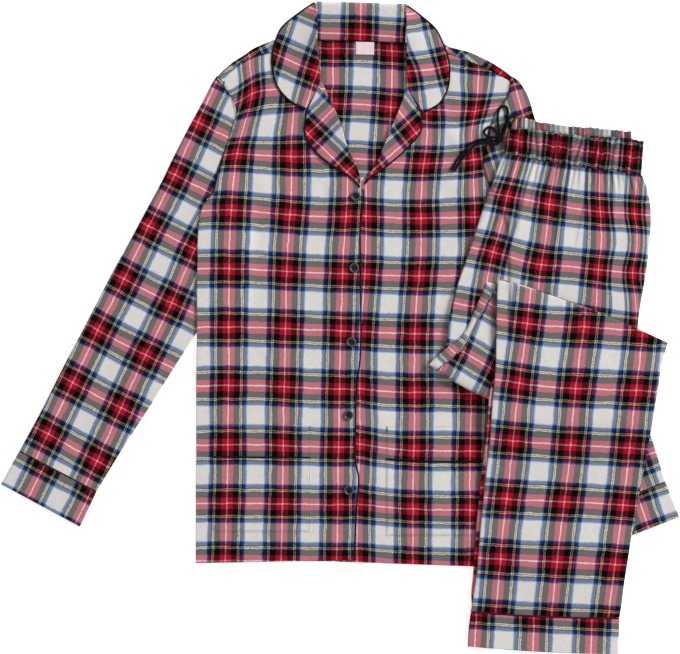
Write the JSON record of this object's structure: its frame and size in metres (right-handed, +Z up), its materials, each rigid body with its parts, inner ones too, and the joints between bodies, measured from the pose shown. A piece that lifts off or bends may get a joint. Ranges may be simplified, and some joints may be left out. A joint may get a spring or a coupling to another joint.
{
  "type": "pyjama set",
  "caption": "Tartan flannel pyjama shirt with notched collar, pockets and piping, laid flat with folded drawstring trousers on one side of it.",
  "frame": {"origin": "centre of the set's outline, at the surface that it lies on", "axes": "+X towards the wearer's left sleeve, +Y towards the collar, +Z up off the surface"},
  "size_m": [0.902, 0.8679, 0.0216],
  "materials": {
    "tartan_flannel": "brushed cotton twill, yarn-dyed in a traditional tartan of white, red, black, blue and yellow",
    "black_piping": "corded cotton piping",
    "dark_red_piping": "corded cotton piping",
    "button_plastic": "satin four-hole button with a raised rim",
    "label_cloth": "plain satin ribbon",
    "drawstring_cord": "round braided cotton"
  },
  "bodies": {
    "root": {"shirt_back": "tartan_flannel", "shirt_front_right": "tartan_flannel", "shirt_front_left": "tartan_flannel", "sleeve_right": "tartan_flannel", "sleeve_left": "tartan_flannel", "cuff_right": "tartan_flannel", "cuff_left": "tartan_flannel", "cuff_piping_right": "black_piping", "cuff_piping_left": "black_piping", "collar": "tartan_flannel", "lapel_right": "tartan_flannel", "lapel_left": "tartan_flannel", "collar_piping_right": "black_piping", "collar_piping_left": "black_piping", "lapel_piping_right": "black_piping", "lapel_piping_left": "black_piping", "front_piping_right": "black_piping", "pocket_right": "tartan_flannel", "pocket_band_right": "tartan_flannel", "pocket_piping_right": "black_piping", "pocket_left": "tartan_flannel", "pocket_band_left": "tartan_flannel", "pocket_piping_left": "black_piping", "button_1": "button_plastic", "button_2": "button_plastic", "button_3": "button_plastic", "button_4": "button_plastic", "button_5": "button_plastic", "neck_label": "label_cloth", "waistband_back": "tartan_flannel", "waistband_front": "tartan_flannel", "hip_front": "tartan_flannel", "hip_inner_layers": "tartan_flannel", "leg_folded_back": "tartan_flannel", "leg_under": "tartan_flannel", "leg_upper": "tartan_flannel", "leg_hem": "tartan_flannel", "leg_hem_piping": "dark_red_piping", "drawstring_knot": "drawstring_cord", "drawstring_tail_front": "drawstring_cord", "drawstring_tail_back": "drawstring_cord", "drawstring_loop_up": "drawstring_cord", "drawstring_loop_side": "drawstring_cord", "drawstring_strand": "drawstring_cord"}
  },
  "joints": []
}
